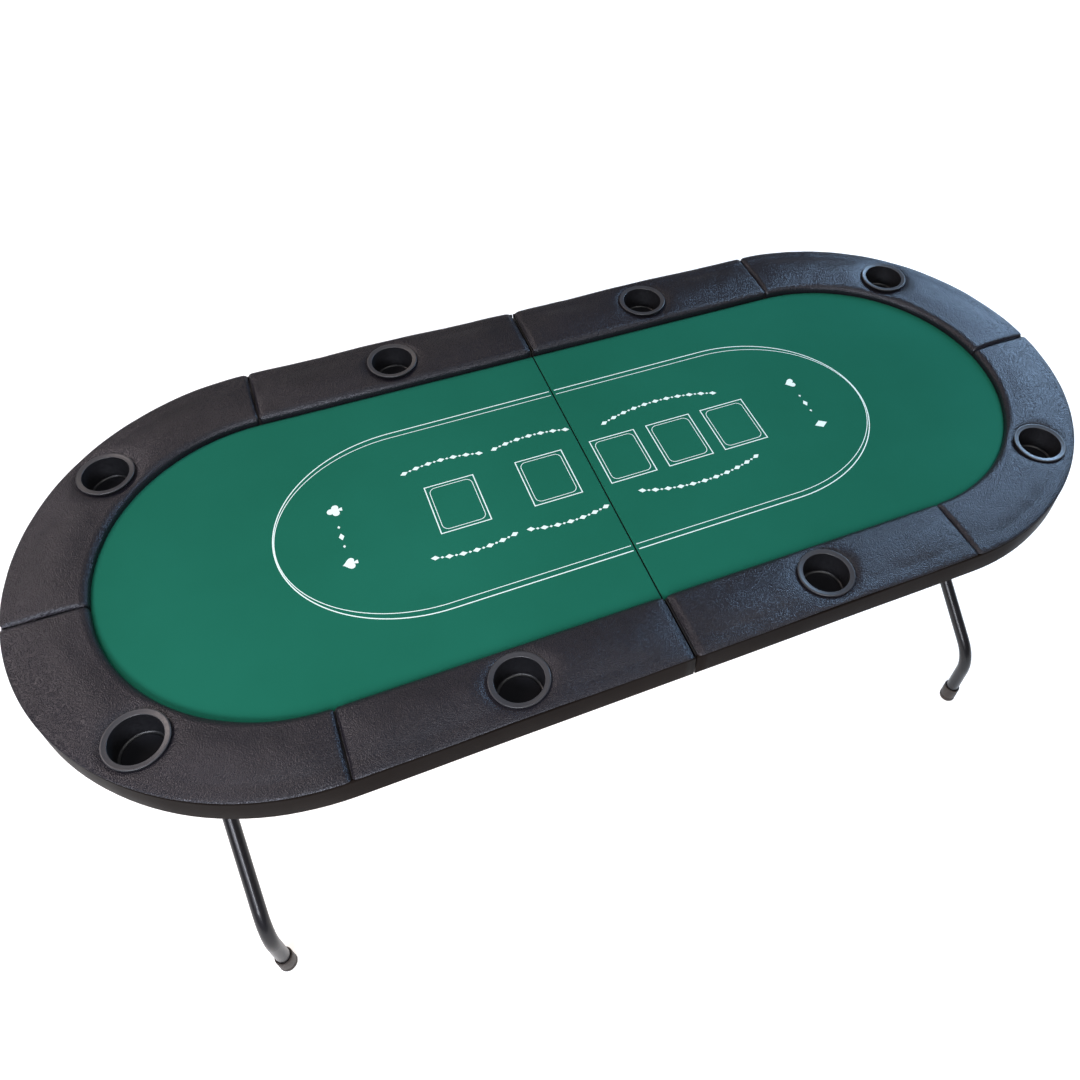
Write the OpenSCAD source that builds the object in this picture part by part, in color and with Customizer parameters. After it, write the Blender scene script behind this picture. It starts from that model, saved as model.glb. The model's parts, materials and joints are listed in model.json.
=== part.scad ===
// Folding eight-seat poker table: two hinged half tops with padded rails, cup holders
// and a crossed tube leg frame under each half. Millimetres, +Z up, floor at z = 0,
// long axis along X, fold line at x = 0. Half b (+X) is drawn; half a is its mirror.

/* [Table top] */
// Length over the padded rail
table_l = 2080; // [2040:10:2160]
// Width over the padded rail
table_w = 940; // [930:5:960]
// Height of the cloth above the floor
felt_h = 745; // [735:1:755]
// Width of the padded rail
rail_w = 135; // [132:1:138]
// Gap between the two halves at the fold
fold_gap = 3; // [2:0.5:4]
// Thickness of the plywood board
board_t = 9; // [8:0.5:9]
// Thickness of the cloth with its foam
felt_t = 4; // [3:0.5:5]

/* [Padded rail] */
// Height of the pad's crown above the cloth
pad_rise = 19; // [17:1:24]
// Gap between two neighbouring pads
seam_gap = 1.5; // [1:0.5:3]
// Thickness of the rail core board
core_t = 11; // [9:1:12]
// Thickness of the pad's inner lip
lip_t = 5; // [4:0.5:8]
// Play left round each soft pad
soft_play = 0.3; // [0.2:0.1:0.5]

/* [Side skirt] */
// Thickness of the skirt
skirt_t = 5; // [4:0.5:6]
// Inset of the skirt from the pad's edge
skirt_inset = 2; // [1:0.5:3]
// Top of the skirt above the cloth
skirt_rise = 13; // [11:1:14]
// Bottom of the skirt below the cloth
skirt_drop = 39; // [33:1:40]

/* [Underframe] */
// Depth of the wooden rails under the board
frame_d = 20; // [16:1:20]
// Width of the edge rail
edge_rail_w = 16; // [12:1:17]
// Width of the rail beside the fold
fold_rail_w = 50; // [46:1:60]
// Width of each cross rail
cross_rail_w = 20; // [15:1:30]
// Distance of the cross rails from the fold
cross_rail_x = [440, 650];

/* [Cup holders] */
// Bore of a cup holder
cup_bore_d = 82; // [78:1:83]
// Outside diameter of the cup's rim
rim_d = 102; // [98:1:106]
// Wall of the cup
cup_wall = 2.2; // [1.8:0.1:2.5]
// Height of the rim's top above the cloth
rim_rise = 23; // [22:1:28]
// Depth from the rim's top to the underside of the cup
cup_d = 55; // [45:1:55]
// Distance of the straight-rail cups from the fold
cup_x = 286; // [240:2:330]
// Angle of the end cups round the end, from the long axis
cup_angle = 45; // [40:1:50]

/* [Leg frames] */
// Distance of the leg pivot from the fold
leg_x = 835; // [830:1:845]
// Drop of the leg pivot below the cloth
leg_drop = 49; // [49:0.5:50]
// Inward lean of a leg frame, foot against pivot
leg_lean = 40; // [30:1:45]
// Outside diameter of the leg tubes
tube_d = 28; // [25:1:28]
// Wall of the steel tubes
tube_wall = 1.5; // [1.2:0.1:2]
// Half the spread of a frame at its pivot bar
leg_top_y = 322; // [310:1:325]
// Half the spread of a frame at its feet
foot_y = 402; // [380:1:405]
// Height of the bend's corner above the floor
bend_h = 160; // [140:5:180]
// Radius of the bend on the tube's centre line
bend_r = 90; // [70:5:100]
// Outside diameter of the pivot bar
bar_d = 30; // [29:0.5:31]
// Length of the pivot bar
bar_l = 680; // [670:1:690]
// Distance of the bearing saddles from the long axis
saddle_y = 200; // [180:1:225]

/* [Leg stays] */
// Length of a stay between its two pins
stay_l = 355; // [350:1:360]
// Offset of the stay's pivot from the leg frame's plane
stay_offset = 25; // [24:0.5:26]
// Width of the stay bar
stay_w = 16; // [12:1:18]
// Thickness of the stay bar
stay_t = 6; // [4:0.5:6]

/* [Fold hinge] */
// Distance of each hinge pin from the fold line
pin_x = 30; // [29:0.5:34]
// Diameter of the hinge pins
pin_d = 6; // [5:0.5:6]
// Outside diameter of the hinge knuckles
knuckle_d = 12; // [11:0.5:12]
// Length of one knuckle
knuckle_l = 120; // [90:5:125]

/* [Hidden] */
$fn = 96;

LEATHER = [0.10, 0.09, 0.10];
SKIRT = [0.13, 0.11, 0.10];
FELT = [0.06, 0.42, 0.30];
PLASTIC = [0.05, 0.05, 0.06];
WOOD = [0.76, 0.62, 0.44];
STEEL = [0.10, 0.10, 0.13];
ZINC = [0.66, 0.67, 0.70];
RUBBER = [0.07, 0.06, 0.05];

// Plan of the top
end_r = table_w / 2;
straight_x = table_l / 2 - end_r;
inner_r = end_r - rail_w;
fold_x = fold_gap / 2;
cup_line_r = end_r - rail_w / 2;
skirt_out_r = end_r - skirt_inset;
skirt_in_r = skirt_out_r - skirt_t;
plan_margin = 60;

// Levels
board_top = felt_h - felt_t;
board_bot = board_top - board_t;
core_top = board_top + core_t;
pad_top = felt_h + pad_rise;
skirt_top = felt_h + skirt_rise;
skirt_bot = felt_h - skirt_drop;
frame_bot = board_bot - frame_d;
rim_top = felt_h + rim_rise;
cup_bot = rim_top - cup_d;
cup_floor_t = 2.5;
leg_z = felt_h - leg_drop;
hinge_plate_t = 2.5;
pin_z = frame_bot - hinge_plate_t - knuckle_d / 2 - 0.5;

// Cup holders: near straight, near end, far end, far straight
cup_out_r = cup_bore_d / 2 + cup_wall;
cup_hole_r = cup_out_r + 0.8;
pad_hole_r = cup_out_r + 2;
cup_places = [
    [cup_x, -cup_line_r],
    [straight_x + cup_line_r * cos(cup_angle), -cup_line_r * sin(cup_angle)],
    [straight_x + cup_line_r * cos(cup_angle), cup_line_r * sin(cup_angle)],
    [cup_x, cup_line_r]];

// Leg frame, in its own plane: origin on the pivot axis, -Z down the frame
lean_angle = atan(leg_lean / leg_z);
leg_len = leg_z / cos(lean_angle);
corner_z = -(leg_z - bend_h) / cos(lean_angle);
tube_r = tube_d / 2;
run_y = leg_top_y + foot_y;
slope_angle = atan(run_y / -corner_z);
bend_back = bend_r * tan(slope_angle / 2);
run_len = sqrt(pow(run_y, 2) + pow(corner_z, 2));
cross_z = corner_z * leg_top_y / run_y;
cross_at = run_len * leg_top_y / run_y;
cross_gap = tube_r / sin(2 * slope_angle) + tube_r / tan(180 - 2 * slope_angle) + 0.5;
foot_clear = 5;
weld = 0.05;
foot_tube_l = leg_len + corner_z - bend_back - foot_clear;
cap_r = tube_r + 3;
cap_l = 42;
hub_r = 34;
hub_t = 3;

// Stay: from the hub pin up to the guide under the board
stay_pin_r = 3;
stay_end_r = 4;
run_fit = 0.06;
guide_z = board_bot - 10;
hub_pin_x = leg_x - stay_offset * cos(lean_angle) + cross_z * sin(lean_angle);
hub_pin_z = leg_z + stay_offset * sin(lean_angle) + cross_z * cos(lean_angle);
stay_angle = asin((guide_z - hub_pin_z) / stay_l);
guide_x0 = leg_x + cross_z - stay_l - 16;
guide_x1 = hub_pin_x - stay_l * cos(stay_angle) + 15;
guide_t = 2.5;
guide_in = 16;

// Fold hinge: five knuckles on each pin, leaf and spine in turn
knuckle_play = 0.25;
leaf_slots = [-2, 0, 2];
spine_slots = [-1, 1];
spine_t = 4;
spine_half_w = pin_x - knuckle_d / 2 - 2;

// Screws: [x, y] places under the half, with the height of the surface that the head meets
screw_r = 2;
head_r = 4;
head_t = 2.4;
leaf_screws = [for (y = [-240, -120, 0, 120, 240]) [12, y]];
saddle_screws = [for (y = [-saddle_y, saddle_y], dx = [-30, 30]) [leg_x + dx, y]];
guide_screws = [for (x = [guide_x0 + 20, (guide_x0 + guide_x1) / 2, guide_x1 - 30]) [x, 0]];
saddle_base_t = 6;
screw_in = 7;

// ---- helpers ----
module slab(z0, z1) translate([0, 0, z0]) linear_extrude(z1 - z0) children();

module half_a() mirror([1, 0, 0]) children();

module d_plan(r, x0 = fold_x) {
    translate([x0, -r]) square([straight_x - x0, 2 * r]);
    translate([straight_x, 0]) circle(r);
}

module d_ring(r_out, r_in) difference() {
    d_plan(r_out);
    d_plan(r_in, fold_x - 1);
}

module beyond(r) difference() {
    translate([-plan_margin, -end_r - plan_margin])
        square([table_l, 2 * (end_r + plan_margin)]);
    d_plan(r, -plan_margin);
}

module cup_holes(r) for (p = cup_places) translate(p) circle(r);

module holes(places, z0, z1, r)
    for (p = places) translate([p[0], p[1], z0]) cylinder(h = z1 - z0, r = r);

module rod_y(x, z, r, y0, y1) translate([x, y0, z]) rotate([-90, 0, 0]) cylinder(h = y1 - y0, r = r);

module in_leg_plane() translate([leg_x, 0, leg_z]) rotate([0, lean_angle, 0]) children();

// ---- top ----
module board() color(WOOD) difference() {
    slab(board_bot, board_top) difference() {
        d_plan(skirt_in_r);
        cup_holes(cup_hole_r);
    }
    holes(saddle_screws, board_bot - 1, board_bot + screw_in, screw_r);
    holes(guide_screws, board_bot - 1, board_bot + screw_in, screw_r);
}

module rail_core() color(WOOD) slab(board_top, core_top) difference() {
    d_ring(skirt_in_r, inner_r + lip_t);
    cup_holes(cup_hole_r);
}

module skirt() color(SKIRT) slab(skirt_bot, skirt_top) d_ring(skirt_out_r, skirt_in_r);

module felt() color(FELT) slab(board_top, felt_h) d_plan(inner_r - 0.5);

module straight_pad_plan() translate([fold_x, inner_r])
    square([straight_x - seam_gap / 2 - fold_x, rail_w]);

module end_pad_plan() intersection() {
    translate([straight_x, 0]) difference() {
        circle(end_r);
        circle(inner_r);
    }
    translate([straight_x + seam_gap / 2, seam_gap / 2]) square(end_r);
}

// Soft pad: a crowned leather cushion over the core, with a lip down to the cloth
module pad() color(LEATHER) difference() {
    slab(board_top + soft_play, pad_top) children();
    slab(board_top, core_top + soft_play) beyond(inner_r + lip_t - soft_play);
    slab(board_top, skirt_top + soft_play) beyond(skirt_in_r - soft_play);
    slab(board_top, pad_top + 1) cup_holes(pad_hole_r);
}

module near() mirror([0, 1, 0]) children();

module cup(i) color(PLASTIC) translate([cup_places[i][0], cup_places[i][1], 0])
    rotate_extrude() polygon([
        [0, cup_bot], [cup_out_r - 2, cup_bot], [cup_out_r, cup_bot + 2],
        [cup_out_r, pad_top + soft_play], [rim_d / 2, pad_top + soft_play],
        [rim_d / 2, rim_top - 2], [rim_d / 2 - 3, rim_top],
        [cup_bore_d / 2 + 3, rim_top], [cup_bore_d / 2, rim_top - 2],
        [cup_bore_d / 2, cup_bot + cup_floor_t], [0, cup_bot + cup_floor_t]]);

// ---- underframe ----
module edge_rail() color(WOOD) slab(frame_bot, board_bot)
    d_ring(skirt_in_r, skirt_in_r - edge_rail_w);

module fold_rail() color(WOOD) difference() {
    slab(frame_bot, board_bot) translate([fold_x, -skirt_in_r + edge_rail_w])
        square([fold_rail_w, 2 * (skirt_in_r - edge_rail_w)]);
    holes(leaf_screws, frame_bot - 1, frame_bot + 2 * screw_in, screw_r);
}

module cross_rails() color(WOOD) slab(frame_bot, board_bot) difference() {
    intersection() {
        d_plan(skirt_in_r - edge_rail_w);
        for (x = cross_rail_x) translate([x - cross_rail_w / 2, -end_r])
            square([cross_rail_w, 2 * end_r]);
    }
    translate([0, -guide_in - 8]) square([end_r + straight_x, 2 * (guide_in + 8)]);
}

module leg_saddles() color(PLASTIC) difference() {
    for (y = [-saddle_y, saddle_y]) translate([leg_x, y, 0]) {
        translate([-38, -14, board_bot - saddle_base_t]) cube([76, 28, saddle_base_t]);
        translate([-20, -12, leg_z]) cube([40, 24, board_bot - leg_z - 1]);
        translate([0, 0, leg_z]) rotate([90, 0, 0]) cylinder(h = 24, r = 20, center = true);
    }
    rod_y(leg_x, leg_z, bar_d / 2 + run_fit, -end_r, end_r);
    holes(saddle_screws, board_bot - saddle_base_t - 1, board_bot + 1, screw_r);
}

module stay_guide() color(STEEL) difference() {
    union() {
        for (s = [-1, 1])
            translate([guide_x0, s * (guide_in + guide_t / 2) - guide_t / 2, frame_bot + 2])
                cube([guide_x1 - guide_x0, guide_t, frame_d - 2]);
        translate([guide_x0, -guide_in, board_bot - guide_t])
            cube([guide_x1 - guide_x0, 2 * guide_in, guide_t]);
    }
    holes(guide_screws, frame_bot, board_bot + 1, screw_r);
}

// ---- fold hinge ----
module knuckles(slots) for (i = slots)
    rod_y(pin_x, pin_z, knuckle_d / 2, (i - 0.5) * knuckle_l + knuckle_play,
          (i + 0.5) * knuckle_l - knuckle_play);

module hinge_leaf() color(ZINC) difference() {
    union() {
        translate([fold_x + 1, -2.5 * knuckle_l, frame_bot - hinge_plate_t])
            cube([pin_x + 14, 5 * knuckle_l, hinge_plate_t]);
        knuckles(leaf_slots);
        for (i = leaf_slots) translate([pin_x - 2, (i - 0.5) * knuckle_l + knuckle_play, pin_z])
            cube([4, knuckle_l - 2 * knuckle_play, frame_bot - pin_z - 1]);
    }
    rod_y(pin_x, pin_z, pin_d / 2 + run_fit, -3 * knuckle_l, 3 * knuckle_l);
    holes(leaf_screws, pin_z, frame_bot + 1, screw_r);
}

module hinge_pin() color(ZINC) rod_y(pin_x, pin_z, pin_d / 2, -2.5 * knuckle_l - 3, 2.5 * knuckle_l + 3);

module spine_plate() color(ZINC) difference() {
    union() {
        translate([-spine_half_w, -2.5 * knuckle_l, pin_z - spine_t / 2])
            cube([2 * spine_half_w, 5 * knuckle_l, spine_t]);
        for (s = [0, 1]) mirror([s, 0, 0]) {
            knuckles(spine_slots);
            for (i = spine_slots)
                translate([0, (i - 0.5) * knuckle_l + knuckle_play, pin_z - spine_t / 2])
                    cube([pin_x, knuckle_l - 2 * knuckle_play, spine_t]);
        }
    }
    for (x = [-pin_x, pin_x])
        rod_y(x, pin_z, pin_d / 2 + run_fit, -3 * knuckle_l, 3 * knuckle_l);
}

// ---- leg frame ----
module pivot_bar() color(STEEL) difference() {
    rod_y(leg_x, leg_z, bar_d / 2, -bar_l / 2, bar_l / 2);
    rod_y(leg_x, leg_z, bar_d / 2 - tube_wall, -bar_l / 2 - 1, bar_l / 2 + 1);
}

module pipe(h) difference() {
    cylinder(h = h, r = tube_r);
    translate([0, 0, -1]) cylinder(h = h + 2, r = tube_r - tube_wall);
}

// Bend and foot of a tube, in the leg plane on the near side
module bent_foot() {
    translate([0, bend_r - foot_y, corner_z - bend_back]) rotate([90, 0, 90])
        rotate([0, 0, 180 - slope_angle]) rotate_extrude(angle = slope_angle)
            translate([bend_r, 0]) difference() {
                circle(tube_r);
                circle(tube_r - tube_wall);
            }
    translate([0, -foot_y, corner_z - bend_back - foot_tube_l]) pipe(foot_tube_l - weld);
}

// The sloping run, measured along the tube from the pivot axis
module sloping(a, b) translate([0, leg_top_y, 0]) rotate([180 - slope_angle, 0, 0])
    translate([0, 0, a]) pipe(b - a);

module leg_tube_long() color(STEEL) in_leg_plane() {
    difference() {
        sloping(0, run_len - bend_back - weld);
        translate([0, leg_top_y - 60, 0]) rotate([-90, 0, 0]) cylinder(h = 120, r = bar_d / 2);
    }
    bent_foot();
}

// The crossing tube stops short of the long one on each side, between the hub plates
module leg_tube_cut() color(STEEL) in_leg_plane() mirror([0, 1, 0]) {
    difference() {
        sloping(0, cross_at - cross_gap);
        translate([0, leg_top_y - 60, 0]) rotate([-90, 0, 0]) cylinder(h = 120, r = bar_d / 2);
    }
    sloping(cross_at + cross_gap, run_len - bend_back - weld);
    bent_foot();
}

// Plates over the crossing, with the clevis and pin that carry the stay
module leg_hub() color(STEEL) in_leg_plane() translate([0, 0, cross_z]) {
    for (s = [-1, 1]) translate([s * (tube_r + hub_t / 2), 0, 0]) rotate([0, 90, 0])
        cylinder(h = hub_t, r = hub_r, center = true);
    for (s = [-1, 1]) translate([-stay_offset - 8, s * (stay_w / 2 + 2.5) - 1.5, -9])
        cube([stay_offset + 8 - tube_r - 1, 3, 18]);
    rod_y(-stay_offset, 0, stay_pin_r, -stay_w / 2 - 6, stay_w / 2 + 6);
}

module feet() color(RUBBER) difference() {
    in_leg_plane() for (s = [-1, 1]) translate([0, s * foot_y, 0]) difference() {
        translate([0, 0, -leg_len - 5]) cylinder(h = cap_l + 5, r = cap_r);
        translate([0, 0, -leg_len + foot_clear]) cylinder(h = cap_l, r = tube_r);
    }
    translate([leg_x - leg_lean - 50, -end_r, -20]) cube([100, 2 * end_r, 20]);
}

module stay_bar() color(STEEL) translate([hub_pin_x, 0, hub_pin_z]) rotate([0, stay_angle, 0])
    difference() {
        union() {
            translate([-stay_l, -stay_w / 2, -stay_t / 2]) cube([stay_l, stay_w, stay_t]);
            rod_y(0, 0, 7, -stay_w / 2, stay_w / 2);
            rod_y(-stay_l, 0, stay_end_r, -guide_in + 2, guide_in - 2);
        }
        rod_y(0, 0, stay_pin_r + run_fit, -stay_w, stay_w);
    }

// ---- screws ----
module screw_set(places, z, depth) for (p = places) translate([p[0], p[1], z]) {
    cylinder(h = depth, r = screw_r);
    translate([0, 0, -head_t]) cylinder(h = head_t, r = head_r);
}

module screws() color(ZINC) {
    screw_set(leaf_screws, frame_bot - hinge_plate_t, hinge_plate_t + 2 * screw_in);
    screw_set(saddle_screws, board_bot - saddle_base_t, saddle_base_t + screw_in);
    screw_set(guide_screws, board_bot - guide_t, guide_t + screw_in);
}

half_a() board();  // board_a
half_a() rail_core();  // rail_core_a
half_a() skirt();  // skirt_a
half_a() felt();  // felt_a
half_a() near() pad() straight_pad_plan();  // pad_near_straight_a
half_a() near() pad() end_pad_plan();  // pad_near_end_a
half_a() pad() end_pad_plan();  // pad_far_end_a
half_a() pad() straight_pad_plan();  // pad_far_straight_a
half_a() cup(0);  // cup_near_straight_a
half_a() cup(1);  // cup_near_end_a
half_a() cup(2);  // cup_far_end_a
half_a() cup(3);  // cup_far_straight_a
half_a() edge_rail();  // edge_rail_a
half_a() fold_rail();  // fold_rail_a
half_a() cross_rails();  // cross_rails_a
half_a() leg_saddles();  // leg_saddles_a
half_a() stay_guide();  // stay_guide_a
half_a() hinge_leaf();  // hinge_leaf_a
half_a() hinge_pin();  // hinge_pin_a
half_a() screws();  // screws_a
half_a() pivot_bar();  // pivot_bar_a
half_a() leg_tube_long();  // leg_tube_long_a
half_a() leg_tube_cut();  // leg_tube_cut_a
half_a() leg_hub();  // leg_hub_a
half_a() feet();  // feet_a
half_a() stay_bar();  // stay_bar_a
spine_plate();
board();  // board_b
rail_core();  // rail_core_b
skirt();  // skirt_b
felt();  // felt_b
near() pad() straight_pad_plan();  // pad_near_straight_b
near() pad() end_pad_plan();  // pad_near_end_b
pad() end_pad_plan();  // pad_far_end_b
pad() straight_pad_plan();  // pad_far_straight_b
cup(0);  // cup_near_straight_b
cup(1);  // cup_near_end_b
cup(2);  // cup_far_end_b
cup(3);  // cup_far_straight_b
edge_rail();  // edge_rail_b
fold_rail();  // fold_rail_b
cross_rails();  // cross_rails_b
leg_saddles();  // leg_saddles_b
stay_guide();  // stay_guide_b
hinge_leaf();  // hinge_leaf_b
hinge_pin();  // hinge_pin_b
screws();  // screws_b
pivot_bar();  // pivot_bar_b
leg_tube_long();  // leg_tube_long_b
leg_tube_cut();  // leg_tube_cut_b
leg_hub();  // leg_hub_b
feet();  // feet_b
stay_bar();  // stay_bar_b
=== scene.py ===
"""The looks of the folding poker table: leather rail pads, cloth with its printed layout,
cup holders, skirt, tube legs and hardware, built round the CAD frame. Metres, +Z up."""
import json
import math
import bmesh
import bpy
from mathutils import Matrix, Vector, noise, kdtree
from mathutils.bvhtree import BVHTree


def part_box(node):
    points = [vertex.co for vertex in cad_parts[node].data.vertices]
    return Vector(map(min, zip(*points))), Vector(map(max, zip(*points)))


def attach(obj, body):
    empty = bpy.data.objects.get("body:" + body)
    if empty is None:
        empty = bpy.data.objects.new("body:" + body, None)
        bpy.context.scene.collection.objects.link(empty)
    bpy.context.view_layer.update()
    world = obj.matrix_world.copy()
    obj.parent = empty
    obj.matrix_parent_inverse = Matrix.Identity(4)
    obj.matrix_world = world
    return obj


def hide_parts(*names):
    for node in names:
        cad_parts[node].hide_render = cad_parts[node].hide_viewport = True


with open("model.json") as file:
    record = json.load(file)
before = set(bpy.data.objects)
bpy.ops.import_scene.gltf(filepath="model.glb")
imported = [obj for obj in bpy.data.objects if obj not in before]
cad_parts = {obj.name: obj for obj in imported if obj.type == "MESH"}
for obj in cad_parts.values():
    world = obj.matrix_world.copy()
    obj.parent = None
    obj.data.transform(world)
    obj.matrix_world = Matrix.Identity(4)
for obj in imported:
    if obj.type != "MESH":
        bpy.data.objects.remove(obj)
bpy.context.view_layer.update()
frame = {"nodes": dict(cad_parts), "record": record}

# ---- measures taken from the CAD frame ----
PAD_LO, PAD_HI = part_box("pad_far_straight_b")
SKIRT_LO, SKIRT_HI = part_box("skirt_b")
FELT_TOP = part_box("felt_b")[1].z
CUP_LO, CUP_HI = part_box("cup_far_straight_b")
OUT_R = PAD_HI.y                      # outer edge of the pads
IN_R = PAD_LO.y                       # edge of the cloth
FOLD_X = PAD_LO.x                     # face of a half beside the fold
CAD_SEAM = 0.0015                     # gap between two CAD pads
END_X = PAD_HI.x + CAD_SEAM / 2       # centre of the round end
SKIRT_R = SKIRT_HI.y
RIM_R = (CUP_HI.x - CUP_LO.x) / 2
RIM_TOP = PAD_HI.z + 0.0040
CUPS = {n: (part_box(f"cup_{n}_b")[0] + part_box(f"cup_{n}_b")[1]) / 2
        for n in ("near_straight", "near_end", "far_end", "far_straight")}
HALVES = (("a", -1), ("b", 1))


# ---- small helpers ----
def smooth(x):
    """Eases from 0 to 1."""
    x = min(max(x, 0.0), 1.0)
    return x * x * (3 - 2 * x)


def make(name, verts, faces, material, body=None, flat=False, replaces=()):
    """A mesh object from lists, with its normals made to agree."""
    me = bpy.data.meshes.new(name)
    me.from_pydata([tuple(v) for v in verts], [], faces)
    bm = bmesh.new()
    bm.from_mesh(me)
    bmesh.ops.remove_doubles(bm, verts=bm.verts, dist=1e-7)
    if not flat:
        bmesh.ops.recalc_face_normals(bm, faces=bm.faces)
    for f in bm.faces:
        f.smooth = not flat
    bm.to_mesh(me)
    bm.free()
    obj = bpy.data.objects.new(name, me)
    bpy.context.scene.collection.objects.link(obj)
    for m in (material if isinstance(material, (list, tuple)) else [material]):
        me.materials.append(m)
    if replaces:
        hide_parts(*replaces)
    if body:
        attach(obj, body)
    return obj


def loft(rings, closed=False, caps=True):
    """Faces between rings of equal length; each ring is a closed loop."""
    n, faces = len(rings[0]), []
    verts = [p for r in rings for p in r]
    count = len(rings)
    for i in range(count if closed else count - 1):
        a, b = i * n, ((i + 1) % count) * n
        faces += [(a + j, a + (j + 1) % n, b + (j + 1) % n, b + j) for j in range(n)]
    if caps and not closed:
        faces += [tuple(range(n - 1, -1, -1)), tuple((count - 1) * n + j for j in range(n))]
    return verts, faces


def lathe(profile, steps=96, matrix=None):
    """A closed profile of (radius, z), turned about Z; radius 0 closes to a point."""
    rings = []
    for i in range(steps):
        a = 2 * math.pi * i / steps
        ring = [Vector((r * math.cos(a), r * math.sin(a), z)) for r, z in profile]
        rings.append([matrix @ p for p in ring] if matrix else ring)
    return loft(rings, closed=True)


def arc_points(cx, cz, r, a0, a1, n):
    """Points on an arc in a section plane, angles in degrees."""
    out = []
    for i in range(n + 1):
        a = math.radians(a0 + (a1 - a0) * i / n)
        out.append((cx + r * math.cos(a), cz + r * math.sin(a)))
    return out


# ---- materials ----
def material(name, color, rough, metallic=0.0, **sockets):
    """A new node material: itself, its node tree and its Principled shader."""
    m = bpy.data.materials.new(name)
    m.use_nodes = True
    nt = m.node_tree
    bsdf = nt.nodes["Principled BSDF"]
    bsdf.inputs["Base Color"].default_value = (*color, 1)
    bsdf.inputs["Roughness"].default_value = rough
    bsdf.inputs["Metallic"].default_value = metallic
    for k, v in sockets.items():
        bsdf.inputs[k.replace("_", " ")].default_value = v
    return m, nt, bsdf


def node(nt, kind, **values):
    """A new node with values set on its sockets, or else on the node itself."""
    n = nt.nodes.new(kind)
    for k, v in values.items():
        if k in n.inputs:
            n.inputs[k].default_value = v
        else:
            setattr(n, k, v)
    return n


def texture(nt, kind, scale, stretch=(1, 1, 1), **values):
    """A procedural texture on object coordinates."""
    coord = nt.nodes.new("ShaderNodeTexCoord")
    mapping = node(nt, "ShaderNodeMapping", Scale=stretch)
    tex = node(nt, kind, Scale=scale, **values)
    nt.links.new(coord.outputs["Object"], mapping.inputs["Vector"])
    nt.links.new(mapping.outputs["Vector"], tex.inputs["Vector"])
    return tex


def mix_color(nt, bsdf, factor, c0, c1, lo=0.3, hi=0.7):
    """Base colour from c0 to c1 as the factor goes from lo to hi."""
    ramp = nt.nodes.new("ShaderNodeValToRGB")
    ramp.color_ramp.elements[0].position, ramp.color_ramp.elements[1].position = lo, hi
    ramp.color_ramp.elements[0].color = (*c0, 1)
    ramp.color_ramp.elements[1].color = (*c1, 1)
    nt.links.new(factor, ramp.inputs["Fac"])
    nt.links.new(ramp.outputs["Color"], bsdf.inputs["Base Color"])


def map_range(nt, value, target, f0, f1, lo, hi):
    """Carries a value from f0..f1 over to lo..hi and into a socket."""
    r = node(nt, "ShaderNodeMapRange")
    for i, v in enumerate((f0, f1, lo, hi)):
        r.inputs[1 + i].default_value = v
    nt.links.new(value, r.inputs["Value"])
    nt.links.new(r.outputs["Result"], target)


def rough_range(nt, bsdf, factor, lo, hi, f0=0.3, f1=0.7):
    map_range(nt, factor, bsdf.inputs["Roughness"], f0, f1, lo, hi)


def bump(nt, bsdf, height, strength, distance, below=None):
    """Bump on the shader's normal, on top of the bump below it."""
    b = node(nt, "ShaderNodeBump", Strength=strength, Distance=distance)
    nt.links.new(height, b.inputs["Height"])
    if below:
        nt.links.new(below.outputs["Normal"], b.inputs["Normal"])
    nt.links.new(b.outputs["Normal"], bsdf.inputs["Normal"])
    return b


def leather_material():
    m, nt, bsdf = material("pebbled_leather", (0.0070, 0.0055, 0.0062), 0.40,
                           Specular_IOR_Level=0.45, Specular_Tint=(0.91, 0.93, 1.0, 1.0))
    tone = texture(nt, "ShaderNodeTexNoise", 5.0, Detail=4.0)
    mix_color(nt, bsdf, tone.outputs["Fac"], (0.0068, 0.0060, 0.0086), (0.0112, 0.0100, 0.0138))
    pebble = texture(nt, "ShaderNodeTexVoronoi", 480.0, feature="SMOOTH_F1", Smoothness=0.25,
                     Randomness=1.0)
    fine = texture(nt, "ShaderNodeTexNoise", 1400.0, Detail=3.0)
    crease = texture(nt, "ShaderNodeTexNoise", 26.0, Detail=5.0, Roughness=0.6)
    rough_range(nt, bsdf, pebble.outputs["Distance"], 0.21, 0.37, 0.1, 0.7)
    b0 = bump(nt, bsdf, crease.outputs["Fac"], 0.07, 0.003)
    inv = node(nt, "ShaderNodeMath", operation="MULTIPLY")
    inv.inputs[1].default_value = -1.0
    nt.links.new(pebble.outputs["Distance"], inv.inputs[0])
    b1 = bump(nt, bsdf, inv.outputs[0], 0.6, 0.0012, b0)
    bump(nt, bsdf, fine.outputs["Fac"], 0.15, 0.0003, b1)
    return m


def vinyl_material():
    m, nt, bsdf = material("skirt_vinyl", (0.008, 0.0055, 0.0045), 0.42,
                           Specular_IOR_Level=0.012)
    tone = texture(nt, "ShaderNodeTexNoise", 3.0, Detail=3.0)
    mix_color(nt, bsdf, tone.outputs["Fac"], (0.006, 0.0042, 0.0036), (0.011, 0.0080, 0.0066))
    pore = texture(nt, "ShaderNodeTexVoronoi", 700.0)
    wave = texture(nt, "ShaderNodeTexNoise", 9.0, stretch=(1, 1, 0.25), Detail=3.0)
    rough_range(nt, bsdf, wave.outputs["Fac"], 0.30, 0.44)
    b = bump(nt, bsdf, wave.outputs["Fac"], 0.2, 0.006)
    bump(nt, bsdf, pore.outputs["Distance"], 0.12, 0.0004, b)
    return m


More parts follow.
